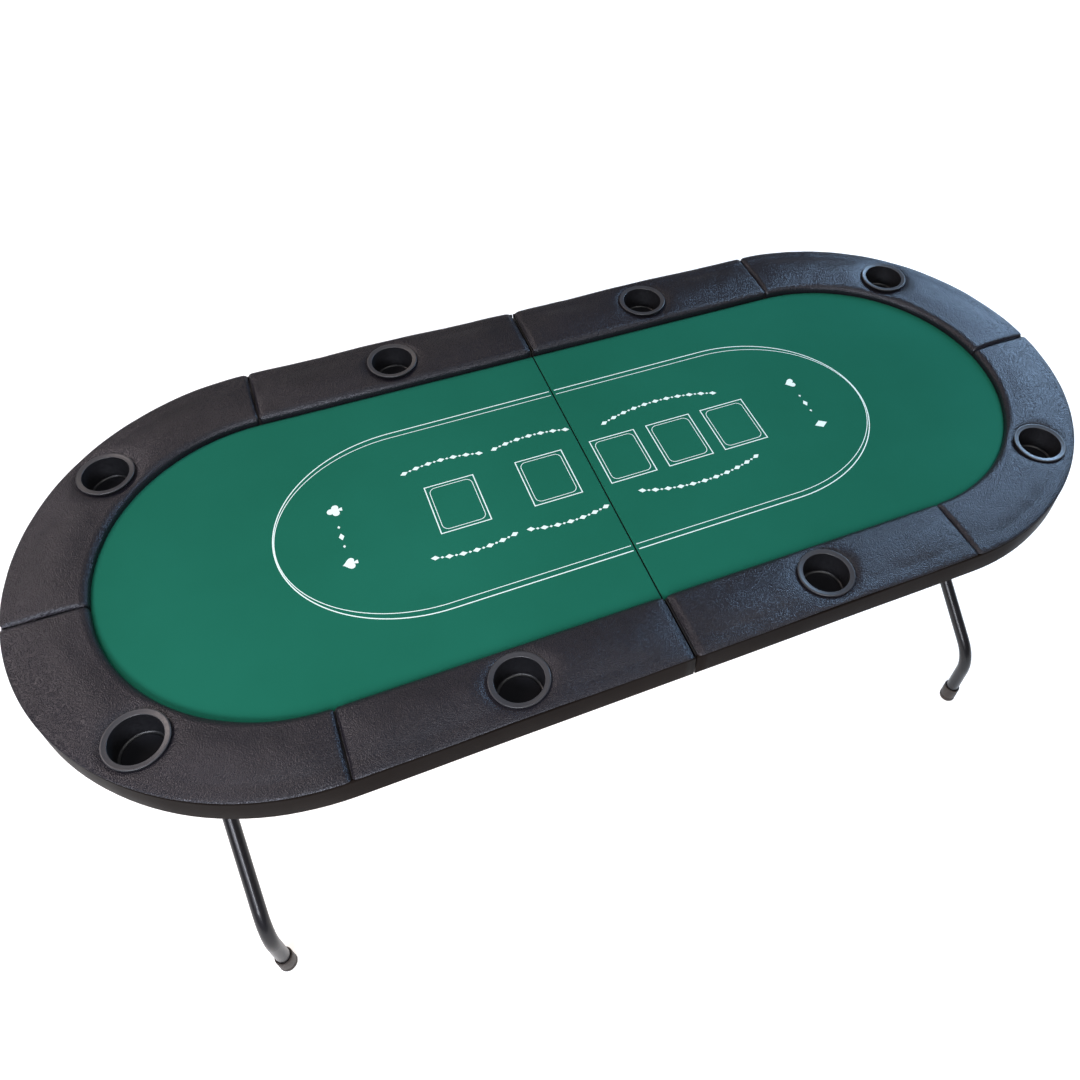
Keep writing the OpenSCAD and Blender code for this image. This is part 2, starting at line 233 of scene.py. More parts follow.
def cloth_material():
    m, nt, bsdf = material("speed_cloth", (0.012, 0.13, 0.085), 0.92, Specular_IOR_Level=0.06,
                           Sheen_Weight=0.06, Sheen_Roughness=0.5,
                           Sheen_Tint=(0.15, 0.75, 0.6, 1))
    cloud = texture(nt, "ShaderNodeTexNoise", 2.2, Detail=4.0)
    fibre = texture(nt, "ShaderNodeTexNoise", 1800.0, stretch=(1, 0.4, 1), Detail=2.0)
    mixer = node(nt, "ShaderNodeMix", data_type="FLOAT")
    mixer.inputs[0].default_value = 0.35
    nt.links.new(cloud.outputs["Fac"], mixer.inputs[2])
    nt.links.new(fibre.outputs["Fac"], mixer.inputs[3])
    mix_color(nt, bsdf, mixer.outputs[0], (0.0066, 0.095, 0.057), (0.0112, 0.128, 0.083))
    weave = texture(nt, "ShaderNodeTexWave", 900.0, Distortion=0.6, bands_direction="DIAGONAL")
    b = bump(nt, bsdf, weave.outputs["Fac"], 0.12, 0.0003)
    bump(nt, bsdf, fibre.outputs["Fac"], 0.25, 0.0005, b)
    return m


def print_material():
    m, nt, bsdf = material("layout_print", (0.70, 0.80, 0.76), 0.75)
    worn = texture(nt, "ShaderNodeTexNoise", 1500.0, Detail=2.0)
    mix_color(nt, bsdf, worn.outputs["Fac"], (0.48, 0.66, 0.60), (0.74, 0.86, 0.82), 0.25, 0.5)
    bump(nt, bsdf, worn.outputs["Fac"], 0.2, 0.0003)
    return m


def plastic_material(name, color, rough, grain, shine=0.5):
    m, nt, bsdf = material(name, color, rough, Specular_IOR_Level=shine)
    tex = texture(nt, "ShaderNodeTexNoise", grain, Detail=3.0)
    mix_color(nt, bsdf, tex.outputs["Fac"], color, tuple(c * 1.35 + 0.002 for c in color))
    rough_range(nt, bsdf, tex.outputs["Fac"], rough - 0.04, rough + 0.08)
    bump(nt, bsdf, tex.outputs["Fac"], 0.12, 0.0003)
    return m


RECOLOR_BAND = 0.0008                 # height over which the colour changes


def recolor_above(m, z, color):
    """Mixes in another colour above a height: a cup's lighter grey rim, or a board's black top, which
    is painted shade for the gaps round the cloth.
    """
    nt = m.node_tree
    target = nt.nodes["Principled BSDF"].inputs["Base Color"]
    base = target.links[0].from_socket
    coord = nt.nodes.new("ShaderNodeTexCoord")
    xyz = nt.nodes.new("ShaderNodeSeparateXYZ")
    mix = node(nt, "ShaderNodeMix", data_type="RGBA")
    mix.inputs[7].default_value = (*color, 1)
    nt.links.new(coord.outputs["Object"], xyz.inputs[0])
    map_range(nt, xyz.outputs["Z"], mix.inputs[0], z - RECOLOR_BAND, z, 0.0, 1.0)
    nt.links.new(base, mix.inputs[6])
    nt.links.new(mix.outputs[2], target)


def paint_material():
    m, nt, bsdf = material("black_powder_coat", (0.010, 0.0095, 0.011), 0.30,
                           Specular_IOR_Level=0.28, Coat_Weight=0.12, Coat_Roughness=0.15)
    tex = texture(nt, "ShaderNodeTexNoise", 600.0, Detail=3.0)
    tone = texture(nt, "ShaderNodeTexNoise", 14.0, Detail=3.0)
    mix_color(nt, bsdf, tone.outputs["Fac"], (0.007, 0.0068, 0.008), (0.012, 0.0115, 0.014))
    bump(nt, bsdf, tex.outputs["Fac"], 0.15, 0.0004)
    return m


def wood_material(name, c0, c1, stretch):
    m, nt, bsdf = material(name, c0, 0.6)
    grain = texture(nt, "ShaderNodeTexNoise", 9.0, stretch=stretch, Detail=8.0, Roughness=0.65,
                    Distortion=0.6)
    mix_color(nt, bsdf, grain.outputs["Fac"], c0, c1, 0.35, 0.65)
    rough_range(nt, bsdf, grain.outputs["Fac"], 0.55, 0.72)
    bump(nt, bsdf, grain.outputs["Fac"], 0.3, 0.0008)
    return m


def zinc_material():
    m, nt, bsdf = material("zinc_plate", (0.62, 0.63, 0.65), 0.34, 1.0)
    brush = texture(nt, "ShaderNodeTexNoise", 300.0, stretch=(1, 0.06, 1), Detail=4.0)
    mix_color(nt, bsdf, brush.outputs["Fac"], (0.50, 0.51, 0.53), (0.68, 0.69, 0.70))
    rough_range(nt, bsdf, brush.outputs["Fac"], 0.26, 0.45)
    bump(nt, bsdf, brush.outputs["Fac"], 0.1, 0.0003)
    return m


# Black that stands in for the shade in the narrow seams and gaps round the cloth and pads: painted
# shade.
GAP_SHADE_BLACK = (0.006, 0.005, 0.005)
LEATHER = leather_material()
VINYL = vinyl_material()
CLOTH = cloth_material()
PRINT = print_material()
CUP_PLASTIC = plastic_material("cup_plastic", (0.0065, 0.0065, 0.0078), 0.36, 260.0, 0.5)
CUP_MAT = plastic_material("cup_mat", (0.0045, 0.0046, 0.0062), 0.75, 900.0, 0.12)
recolor_above(CUP_PLASTIC, RIM_TOP - 0.0014, (0.033, 0.033, 0.037))
PLASTIC = plastic_material("moulded_plastic", (0.016, 0.016, 0.017), 0.5, 400.0)
RUBBER = plastic_material("foot_rubber", (0.022, 0.015, 0.012), 0.6, 300.0)
PAINT = paint_material()
PLYWOOD = wood_material("plywood", (0.50, 0.34, 0.18), (0.64, 0.47, 0.28), (0.5, 9, 9))
# The board's top face is black: painted shade for the gaps between the cloth's edge and the pads.
recolor_above(PLYWOOD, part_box("board_b")[1].z, GAP_SHADE_BLACK)
PINE = wood_material("pine_batten", (0.58, 0.42, 0.24), (0.70, 0.55, 0.35), (7, 0.5, 7))
# Black rail cores: painted shade where they show in the seams between the pads.
RAIL_CORE_SHADE = wood_material("rail_core_shade_black", GAP_SHADE_BLACK, (0.012, 0.010, 0.009), (1, 6, 6))
ZINC = zinc_material()

NODE_MATERIALS = {"wood": PLYWOOD, "plastic": PLASTIC, "black_steel": PAINT, "zinc": ZINC,
                  "rubber": RUBBER, "skirt_vinyl": VINYL, "leather": LEATHER, "cloth": CLOTH,
                  "cup_plastic": CUP_PLASTIC}
SLOT_OF = {s["node"]: s["material_slot"] for s in frame["record"]["subparts"]}
for node_name, obj in frame["nodes"].items():
    chosen = NODE_MATERIALS[SLOT_OF[node_name]]
    if node_name.startswith(("edge_rail", "fold_rail", "cross_rails")):
        chosen = PINE
    # Painted shade: the rail cores show in the seams, so they get the black material.
    if node_name.startswith("rail_core"):
        chosen = RAIL_CORE_SHADE
    obj.data.materials.clear()
    obj.data.materials.append(chosen)


# ---- padded rail ----
SEAM_LINE = 0.0012                    # half of the gap between two pads' leather
SEAM_ROLL = (0.0085, 0.0095)          # length and drop of a pad's end at a seam
FOLD_ROLL = (0.014, 0.0130)           # the same beside the fold
END_TUCK = 0.0055                     # how far a pad's end corners round off in plan
TUCK_REACH = 0.040                    # how far in from its edges that rounding reaches
FOLD_PAD = FOLD_X + 0.0020            # where the pads beside the fold start
PUFF = 0.0012                         # how far the leather stands above the CAD pad
SKIN_CELL = 0.006                     # cell of the even skin that the cloth simulation uses
FOAM_HOLD = 0.03                      # how firmly the foam holds the leather's crown
PAD_PRESSURE = 1.0
SETTLE_FRAMES = 16
SMOOTH_PASSES = 6                     # evens out the skin's cells
SETTLE_CAP = 0.0048                   # the leather moves no further than this
HOLE_TRIES = 5                        # cuts tried for a cup's hole
CUTTER_TURN = math.radians(0.7)
HOLE_R = RIM_R - 0.0058               # the cup's hole in the leather
DIMPLE = 0.0050                       # how far a cup's rim presses the leather down
DIMPLE_REACH = 0.008                  # how fast that fades away from the rim
INNER_ROLL, OUTER_ROLL = 0.017, 0.027  # widths of a pad's rolled edges
EDGE_Z = PAD_HI.z - 0.0012            # top of the rolled edges
STAPLE_DEPTH = 0.020                  # the leather is held this far below the crown


def pad_section():
    """Across a pad, from the cloth out: (distance from the cloth's edge, height)."""
    width = OUT_R - IN_R
    wall_top = FELT_TOP + 0.006
    pts = [(0.0008, FELT_TOP - 0.0030), (0.0003, FELT_TOP + 0.0005), (0.0004, wall_top)]
    for i in range(1, 13):
        a = math.radians(90 * i / 12)
        pts.append((INNER_ROLL * (1 - math.cos(a)) + 0.0004,
                    wall_top + (EDGE_Z - wall_top) * math.sin(a)))
    steps = 22
    crown = PAD_HI.z + PUFF - EDGE_Z
    for i in range(1, steps):
        t = i / steps
        pts.append((INNER_ROLL + (width - INNER_ROLL - OUTER_ROLL) * t,
                    EDGE_Z + crown * math.sin(math.pi * t) ** 0.8))
    low = SKIRT_HI.z + 0.0004
    for i in range(13):
        a = math.radians(90 * i / 12)
        pts.append((width - OUTER_ROLL + (OUTER_ROLL - 0.0012) * math.sin(a) + 0.0002,
                    low + 0.0012 + (EDGE_Z - low - 0.0012) * math.cos(a)))
    pts += [(width - 0.0022, low), (width - 0.02, low), (width / 2, low), (0.010, low),
            (0.0042, low - 0.004), (0.0042, FELT_TOP - 0.0030)]
    return pts


def stations(length, rolls):
    """Distances along a pad, closer together in the rolls at its ends."""
    steps = max(40, int(length / 0.0045))
    roll0, roll1 = rolls[0][0], rolls[1][0]
    closer = [1 - math.cos(math.pi / 2 * i / 9) for i in range(10)]
    middle = [roll0 + (length - roll0 - roll1) * i / steps for i in range(1, steps)]
    return sorted(set([roll0 * c for c in closer] + [length - roll1 * c for c in closer] + middle))


def crown_height(p, w, near_end, roll_drop, cup_at, seed):
    """How far a point of the crown moves up: end roll, unevenness, puckers and cup dimple."""
    uneven = 0.0007 * noise.noise(Vector((p.x * 9 + seed, p.y * 9, 0.3)))
    uneven += 0.0004 * noise.noise(Vector((p.x * 34, p.y * 34 + seed, 1.7)))
    pucker = 0.0005 * math.exp(-near_end / 0.016) * (0.5 + 0.5 * math.sin(w * 420 + seed))
    away = (Vector(p.xy) - cup_at).length - RIM_R
    dimple = DIMPLE * math.exp(-max(0.0, away) / DIMPLE_REACH) if away < 0.05 else 0.0
    return uneven - roll_drop - pucker - dimple


def pad_rings(place, length, cup_at, seed, rolls):
    """Rings along a pad. place(u, r) gives the plan point for a length and a radius, and
    rolls the (length, drop) of the roll at each end."""
    rings, width, base_z = [], OUT_R - IN_R, SKIRT_HI.z
    for u in stations(length, rolls):
        near_end = min(u, length - u)
        roll_length, roll_drop = rolls[0 if u < length / 2 else 1]
        t = max(0.0, 1 - near_end / roll_length)
        roll = 1 - math.sqrt(max(0.0, 1 - t * t))
        swell = 1 - 0.35 * math.exp(-near_end / 0.035)
        ring = []
        for w, z in pad_section():
            share = min(1.0, max(0.0, (z - base_z) / (PAD_HI.z - base_z)))
            p = Vector((*place(u, IN_R + w), z))
            if z > EDGE_Z:
                z = EDGE_Z + (z - EDGE_Z) * swell
            if z > base_z:
                z += share * crown_height(p, w, near_end, roll * roll_drop, cup_at, seed)
            inward = 0.0006 * noise.noise(Vector((p.x * 22, p.y * 22, z * 60))) if w < 0.002 else 0.0
            corner = max(0.0, 1 - w / TUCK_REACH) - max(0.0, 1 - (width - w) / TUCK_REACH)
            ring.append(Vector((*place(u, IN_R + w + inward + roll * END_TUCK * corner), z)))
        rings.append(ring)
    return rings


def hole_is_open(mesh, centre, radius):
    """True if nothing of the mesh is left inside the hole."""
    if any((Vector(v.co.xy) - centre).length < radius * 0.97 for v in mesh.vertices):
        return False
    tree = BVHTree.FromPolygons([v.co for v in mesh.vertices], [p.vertices for p in mesh.polygons])
    down = Vector((0, 0, -1))
    spots = [(0.0, 0.0)] + [(0.8 * radius * math.cos(a), 0.8 * radius * math.sin(a))
                            for a in (0.3, 1.9, 3.5, 5.1)]
    return all(tree.ray_cast(Vector((centre.x + x, centre.y + y, 2.0)), down)[0] is None
               for x, y in spots)


def cut_hole(obj, centre, radius, z0, z1):
    """Cuts a round hole through obj. The cutter is turned a little if a first cut fails."""
    for turn in range(HOLE_TRIES):
        done = cut_once(obj, centre, radius, z0, z1, turn * CUTTER_TURN)
        if hole_is_open(done, centre, radius):
            break
    else:
        print("hole not open:", obj.name)
    obj.data = done


def cut_once(obj, centre, radius, z0, z1, turn):
    """The mesh of obj less a cylinder that is turned about its own axis."""
    bm = bmesh.new()
    at = Matrix.Translation((*centre, (z0 + z1) / 2)) @ Matrix.Rotation(turn, 4, "Z")
    bmesh.ops.create_cone(bm, cap_ends=True, segments=96, radius1=radius, radius2=radius,
                          depth=z1 - z0, matrix=at)
    me = bpy.data.meshes.new("cutter")
    bm.to_mesh(me)
    bm.free()
    cutter = bpy.data.objects.new("cutter", me)
    bpy.context.scene.collection.objects.link(cutter)
    mod = obj.modifiers.new("hole", "BOOLEAN")
    mod.object, mod.operation, mod.solver = cutter, "DIFFERENCE", "EXACT"
    bpy.context.view_layer.update()
    dg = bpy.context.evaluated_depsgraph_get()
    done = bpy.data.meshes.new_from_object(obj.evaluated_get(dg))
    obj.modifiers.clear()
    bpy.data.objects.remove(cutter)
    return done


def build_pad(name, half, sign, side):
    """One pad: name is straight or end, side is -1 for near and +1 for far."""
    which = f"{'near' if side < 0 else 'far'}_{name}"
    cup = CUPS[which]
    cup_at = Vector((sign * cup.x, cup.y))
    seed = 3.1 * sign + 1.7 * side + (0.9 if name == "end" else 0.0)
    if name == "straight":
        length = END_X - SEAM_LINE - FOLD_PAD
        rolls = (FOLD_ROLL, SEAM_ROLL)

        def place(u, r):
            return sign * (FOLD_PAD + u), side * r
    else:
        mid = (OUT_R + IN_R) / 2
        length = math.pi / 2 * mid - 2 * SEAM_LINE
        rolls = (SEAM_ROLL, SEAM_ROLL)

        def place(u, r):
            a = (SEAM_LINE + u) / mid
            return sign * (END_X + r * math.sin(a)), side * r * math.cos(a)
    verts, faces = loft(pad_rings(place, length, cup_at, seed, rolls))
    obj = make(f"rail_pad_{which}_{half}", verts, faces, LEATHER)
    cut_hole(obj, cup_at, HOLE_R, FELT_TOP - 0.02, PAD_HI.z + 0.02)
    return obj, which, half, cup_at


def cloth_skin(obj, cup_at):
    """An even copy of a pad, held where the leather is stapled: below the crown and under
    the cup's rim, and lightly everywhere else by the foam."""
    skin = bpy.data.objects.new("skin", obj.data.copy())
    bpy.context.scene.collection.objects.link(skin)
    mod = skin.modifiers.new("even", "REMESH")
    mod.mode, mod.voxel_size = "VOXEL", SKIN_CELL
    dg = bpy.context.evaluated_depsgraph_get()
    skin.data = bpy.data.meshes.new_from_object(skin.evaluated_get(dg))
    skin.modifiers.clear()
    pins = skin.vertex_groups.new(name="pins")
    low, top = PAD_HI.z - STAPLE_DEPTH, PAD_HI.z
    for v in skin.data.vertices:
        hold = 1.0 - smooth((v.co.z - low) / (top - low))
        if (Vector(v.co.xy) - cup_at).length < RIM_R + 0.002:
            hold = 1.0
        pins.add([v.index], max(hold, FOAM_HOLD), "REPLACE")
    mod = skin.modifiers.new("leather", "CLOTH")
    st = mod.settings
    st.quality, st.mass = 5, 0.3
    st.tension_stiffness = st.compression_stiffness = 20.0
    st.shear_stiffness, st.bending_stiffness = 5.0, 1.0
    st.use_pressure, st.uniform_pressure_force = True, PAD_PRESSURE
    st.vertex_group_mass = "pins"
    st.effector_weights.gravity = 0.0
    mod.collision_settings.use_collision = False
    mod.point_cache.frame_start, mod.point_cache.frame_end = 1, SETTLE_FRAMES
    return skin


def settle(pads):
    """Stretches the leather over the foam by cloth simulation, all pads in one run, and
    carries the skins' movement over to the pads."""
    skins = [cloth_skin(obj, cup_at) for obj, _, _, cup_at in pads]
    scene = bpy.context.scene
    for frame_no in range(1, SETTLE_FRAMES + 1):
        scene.frame_set(frame_no)
    dg = bpy.context.evaluated_depsgraph_get()
    for (obj, *_), skin in zip(pads, skins):
        done = skin.evaluated_get(dg).data
        rise = [min(SETTLE_CAP, w.co.z - v.co.z)
                for v, w in zip(skin.data.vertices, done.vertices)]
        near = [[] for _ in rise]
        for e in skin.data.edges:
            a, b = e.vertices
            near[a].append(b)
            near[b].append(a)
        for _ in range(SMOOTH_PASSES):
            rise = [(r + sum(rise[n] for n in around)) / (1 + len(around))
                    for r, around in zip(rise, near)]
        tree = kdtree.KDTree(len(rise))
        for i, v in enumerate(skin.data.vertices):
            tree.insert(v.co, i)
        tree.balance()
        for v in obj.data.vertices:
            total = weight = 0.0
            for _, i, away in tree.find_n(v.co, 12):
                share = math.exp(-(away / SKIN_CELL) ** 2)
                total, weight = total + rise[i] * share, weight + share
            v.co.z += total / weight
    scene.frame_set(1)
    for skin in skins:
        bpy.data.objects.remove(skin)


def finish_pad(obj, which, half, cup_at):
    for f in obj.data.polygons:
        f.use_smooth = True
    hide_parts(f"pad_{which}_{half}")
    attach(obj, f"half_{half}")


pads = [build_pad(kind, half, sign, side) for half, sign in HALVES for side in (-1, 1)
        for kind in ("straight", "end")]
settle(pads)
for pad in pads:
    finish_pad(*pad)


# ---- side skirt: vinyl wrapped over a band ----
SKIRT_T = 0.005                       # thickness of the skirt


def d_path(radius_steps=72, straight_step=0.02):
    """Stations round a half, from the near end of the fold to its far end: each is x on the
    half's long axis and the outward direction there."""
    n = int((END_X - FOLD_X) / straight_step)
    side = [FOLD_X + (END_X - FOLD_X) * i / n for i in range(n + 1)]
    turns = [math.pi * i / radius_steps for i in range(1, radius_steps)]
    return ([(x, 0.0, -1.0) for x in side] + [(END_X, math.sin(a), -math.cos(a)) for a in turns]
            + [(x, 0.0, 1.0) for x in reversed(side)])


def skirt_section():
    """(radius, height) round the skirt's wall, with a little belly and a turned lower edge."""
    z0, z1, r1 = SKIRT_LO.z, SKIRT_HI.z, SKIRT_R
    r0 = r1 - SKIRT_T
    pts = [(r0, z1 - 0.0005), (r1 - 0.0012, z1 - 0.0002)]
    for i in range(15):
        t = i / 14
        pts.append((r1 + 0.0006 * math.sin(math.pi * t), z1 - 0.0012 - (z1 - z0 - 0.0042) * t))
    pts += arc_points(r1 - 0.0022, z0 + 0.0022, 0.0022, 0, -90, 5)
    pts += [(r0, z0)]
    return pts


def build_skirt(half, sign):
    rings = []
    for x, nx, ny in d_path():
        ring = []
        for r, z in skirt_section():
            bulge = 0.0
            if r > SKIRT_R - 0.001:
                bulge = 0.0007 * noise.noise(Vector(((x + nx) * 5 + sign, ny * 5, z * 20)))
            ring.append(Vector((sign * (x + nx * (r + bulge)), ny * (r + bulge), z)))
        rings.append(ring)
    verts, faces = loft(rings)
    make(f"skirt_wrap_{half}", verts, faces, VINYL, f"half_{half}",
         replaces=[f"skirt_{half}"])


for half, sign in HALVES:
    build_skirt(half, sign)


# ---- cloth ----
CLOTH_R = IN_R + 0.0008
FOLD_EDGE = 0.0006                    # the cloth wraps over the board's edge at the fold
EDGE_BAND = 0.0008                    # its dark band there: partly a binding, partly painted shade for the fold's gap
FOLD_TURN = (0.0030, 0.0028)          # length and drop of the turn at the fold
RIM_TURN = (0.0090, 0.0026)           # the same where the foam ends beside the pads


def turn_drop(inside, turn):
    """How far a rolled edge has dropped at a distance inside it."""
    t = 1 - min(1.0, max(0.0, inside / turn[0]))
    return turn[1] * (1 - math.sqrt(1 - t * t))


def build_cloth(half, sign):
    """A D-shaped cloth over thin foam, rolled down at the fold and beside the pads."""
    top, bottom = FELT_TOP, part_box(f"felt_{half}")[0].z + 0.0002
    turn = FOLD_TURN[0]
    xs = [FOLD_EDGE + turn * (1 - math.cos(math.pi / 2 * i / 7)) for i in range(8)]
    xs += [xs[-1] + (END_X - xs[-1]) * i / 46 for i in range(1, 47)]
    columns = [(x, CLOTH_R) for x in xs]
    columns += [(END_X + CLOTH_R * math.sin(a), CLOTH_R * math.cos(a))
                for a in [math.pi / 2 * i / 60 for i in range(1, 60)]]
    columns.append((END_X + CLOTH_R * 0.9999, CLOTH_R * 0.012))
    rows = [2 * j / 64 - 1 for j in range(65)]
    rings = []
    for x, half_w in columns:
        upper = []
        for v in rows:
            y = half_w * math.sin(math.pi / 2 * v) * 0.5 + half_w * v * 0.5
            out = math.hypot(max(0.0, x - END_X), y)
            drop = turn_drop(x - FOLD_EDGE, FOLD_TURN) + turn_drop(IN_R - out, RIM_TURN)
            wave = 0.00025 * noise.noise(Vector((x * 7 * sign, y * 7, 0.0)))
            upper.append(Vector((sign * x, y, top - drop + (wave if drop == 0 else 0.0))))
        lower = [Vector((sign * x, half_w * (j / 3 - 1), bottom)) for j in range(6, -1, -1)]
        rings.append(upper + lower)
    verts, faces = loft(rings)
    obj = make(f"cloth_top_{half}", verts, faces, [CLOTH, VINYL])
    # Faces at the fold take the dark vinyl: partly a binding, partly painted shade for the fold's gap.
    for f in obj.data.polygons:
        if abs(f.center.x) < FOLD_EDGE + EDGE_BAND:
            f.material_index = 1
    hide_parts(f"felt_{half}")
    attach(obj, f"half_{half}")


for half, sign in HALVES:
    build_cloth(half, sign)


# ---- printed layout, as thin shapes on the cloth ----
PRINT_Z = FELT_TOP + 0.0004


class Print:
    """Collects flat ribbons and shapes for one half of the layout."""

    def __init__(self):
        self.verts, self.faces, self.count = [], [], 0

    def layer(self):
        """Height of the next shape, so that crossing shapes never share a plane."""
        self.count += 1
        return PRINT_Z + 0.00001 * (self.count % 9)

    def ribbon(self, pts, width, closed=False):
        pts = [Vector(p) for p in pts]
        n = len(pts)
        widths = width if isinstance(width, list) else [width] * n
        base, z = len(self.verts), self.layer()
        for i, p in enumerate(pts):
            a = pts[i - 1] if (i > 0 or closed) else p
            b = pts[(i + 1) % n] if (i < n - 1 or closed) else p
            d0, d1 = (p - a), (b - p)
            d0 = d0.normalized() if d0.length > 1e-9 else d1.normalized()
            d1 = d1.normalized() if d1.length > 1e-9 else d0
            t = (d0 + d1).normalized() if (d0 + d1).length > 1e-6 else d0
            side = Vector((-t.y, t.x))
            miter = 1 / max(0.5, abs(side.dot(Vector((-d0.y, d0.x)))))
            for s in (1, -1):
                q = p + side * (s * widths[i] / 2 * miter)
                self.verts.append((q.x, q.y, z))
        for i in range(n if closed else n - 1):
            a, b = base + 2 * i, base + 2 * ((i + 1) % n)
            self.faces.append((a, a + 1, b + 1, b))

    def shape(self, pts):
        base, z = len(self.verts), self.layer()
        self.verts += [(p[0], p[1], z) for p in pts]
        self.faces.append(tuple(range(base, base + len(pts))))


def ellipse(cx, cy, rx, ry, a0=0.0, a1=360.0, n=32):
    """Points along an ellipse, or part of one, with angles in degrees."""
    return [(cx + rx * math.cos(math.radians(a0 + (a1 - a0) * i / n)),
             cy + ry * math.sin(math.radians(a0 + (a1 - a0) * i / n))) for i in range(n + 1)]


CARD_W, CARD_H = 0.095, 0.116         # a card place, a little larger than a card
FRAME_LINE, THIN_LINE = 0.0021, 0.0013
INNER_IN, INNER_R = 0.0065, 0.0120    # the round-cornered line inside a card place


def rounded_box(cx, half_w, half_h, r):
    """Outline of a box with round corners, centred on the table's long axis."""
    pts = []
    for sx, sy, start in ((1, -1, -90), (1, 1, 0), (-1, 1, 90), (-1, -1, 180)):
        pts += ellipse(cx + sx * (half_w - r), sy * (half_h - r), r, r, start, start + 90, 8)
    return pts


def card_place(target, cx):
    """A plain card box: a square frame with a thin round-cornered line inside."""
    half_w, half_h = CARD_W / 2, CARD_H / 2
    target.ribbon([(cx - half_w, -half_h), (cx + half_w, -half_h), (cx + half_w, half_h),
                   (cx - half_w, half_h)], FRAME_LINE, closed=True)
    inner = rounded_box(cx, half_w - INNER_IN, half_h - INNER_IN, INNER_R)
    target.ribbon(inner, THIN_LINE, closed=True)


LOZENGE = (0.0080, 0.0050)            # half length and half width of the larger lozenge
SMALL_LOZENGE = (0.0034, 0.0026)
LOZENGE_STEP = 0.0125
BORDER_Y = 0.116                      # top of a border's arc


def lozenge(target, cx, cy, size, turn=0.0):
    """A filled lozenge whose long way is turned from the x axis."""
    c, s = math.cos(turn), math.sin(turn)
    half_l, half_w = size
    corners = ((half_l, 0), (0, half_w), (-half_l, 0), (0, -half_w))
    target.shape([(cx + c * u - s * v, cy + s * u + c * v) for u, v in corners])


def arched_border(target, centre_x, radius, width, side):
    """A generic border of large and small lozenges on an arc; side is +1 or -1 across the table."""
    steps = 2 * round(width / LOZENGE_STEP / 2)
    for i in range(steps + 1):
        u = (i / steps - 0.5) * width / radius
        y = BORDER_Y - radius + radius * math.cos(u)
        size = SMALL_LOZENGE if i % 2 else LOZENGE
        lozenge(target, centre_x + radius * math.sin(u), side * y, size, -side * u)


OVALS = ((0.220, 0.603, FRAME_LINE), (0.208, 0.6012, 0.0015))  # half width, half length, line
OVAL_START, OVAL_STRAIGHT = FOLD_X + 0.004, 0.342              # ends of the straight sides


def oval_line(target, sign, half_w, half_l, width):
    """Half of an oval: straight sides and a half ellipse at the end."""
    x0, xs = OVAL_START, OVAL_STRAIGHT
    pts = [(x0 + (xs - x0) * i / 12, -half_w) for i in range(13)]
    pts += [(xs + (half_l - xs) * math.sin(math.radians(180 * i / 64)),
             -half_w * math.cos(math.radians(180 * i / 64))) for i in range(1, 64)]
    pts += [(xs - (xs - x0) * i / 12, half_w) for i in range(13)]
    target.ribbon([(sign * x, y) for x, y in pts], width)


def heart_outline(flip):
    """The usual heart curve, one unit wide; flip is -1 for a spade's leaf."""
    pts = []
    for i in range(40):
        t = 2 * math.pi * i / 40
        y = (13 * math.cos(t) - 5 * math.cos(2 * t) - 2 * math.cos(3 * t) - math.cos(4 * t)) / 32
        pts.append((0.5 * math.sin(t) ** 3, y * flip))
    return pts


def pip(target, kind, cx, cy, size, sx):
    """A suit pip that points away from the fold; sx is +1 or -1 for its side."""
    shapes = []
    if kind == "diamond":
        shapes.append([(0, -0.58), (0.4, 0), (0, 0.58), (-0.4, 0)])
    elif kind == "heart":
        shapes.append(heart_outline(1))
    elif kind == "spade":
        shapes.append(heart_outline(-1))
    else:
        for dx, dy in ((0, 0.27), (-0.27, -0.12), (0.27, -0.12)):
            shapes.append(ellipse(dx, dy, 0.27, 0.27, n=24)[:-1])
        shapes.append([(-0.2, 0.1), (0.2, 0.1), (0.2, -0.2), (-0.2, -0.2)])
    if kind in ("spade", "club"):
        shapes.append([(-0.17, -0.62), (0.17, -0.62), (0.04, -0.15), (-0.04, -0.15)])
    for outline in shapes:
        target.shape([(cx + sx * size * v, cy + size * u) for u, v in outline])


PIP_SIZE, PIP_Y = 0.024, 0.064
SMALL_Y = 0.023                       # small lozenges either side of the one between two pips
# Per half: centres of the card places, borders as (centre x, arc radius, width), and the suit pips
LAYOUTS = {
    "a": {"cards": (-0.268, -0.088), "borders": ((-0.267, 0.30, 0.150), (-0.087, 0.30, 0.150)),
          "pip_x": -0.484, "pips": (("club", PIP_Y), ("spade", -PIP_Y))},
    "b": {"cards": (0.0675, 0.190, 0.312), "borders": ((0.190, 0.376, 0.250),),
          "pip_x": 0.481, "pips": (("heart", PIP_Y), ("diamond", -PIP_Y))}}


def build_print(half, sign):
    """The printed layout of one half, on the cloth. It holds no lettering."""
    p = Print()
    layout = LAYOUTS[half]
    for half_w, half_l, width in OVALS:
        oval_line(p, sign, half_w, half_l, width)
    for cx in layout["cards"]:
        card_place(p, cx)
    for centre_x, radius, width in layout["borders"]:
        for side in (-1, 1):
            arched_border(p, centre_x, radius, width, side)
    for kind, y in layout["pips"]:
        pip(p, kind, layout["pip_x"], y, PIP_SIZE, sign)
    for y, size in ((-SMALL_Y, SMALL_LOZENGE), (0.0, LOZENGE), (SMALL_Y, SMALL_LOZENGE)):
        lozenge(p, layout["pip_x"], y, size, math.pi / 2)
    obj = make(f"layout_print_{half}", p.verts, p.faces, PRINT, f"half_{half}", flat=True)
    for f in obj.data.polygons:
        if f.normal.z < 0:
            f.flip()


for half, sign in HALVES:
    build_print(half, sign)


# ---- cup holders ----
BORE_R, CUP_OUT_R = 0.0412, 0.0430


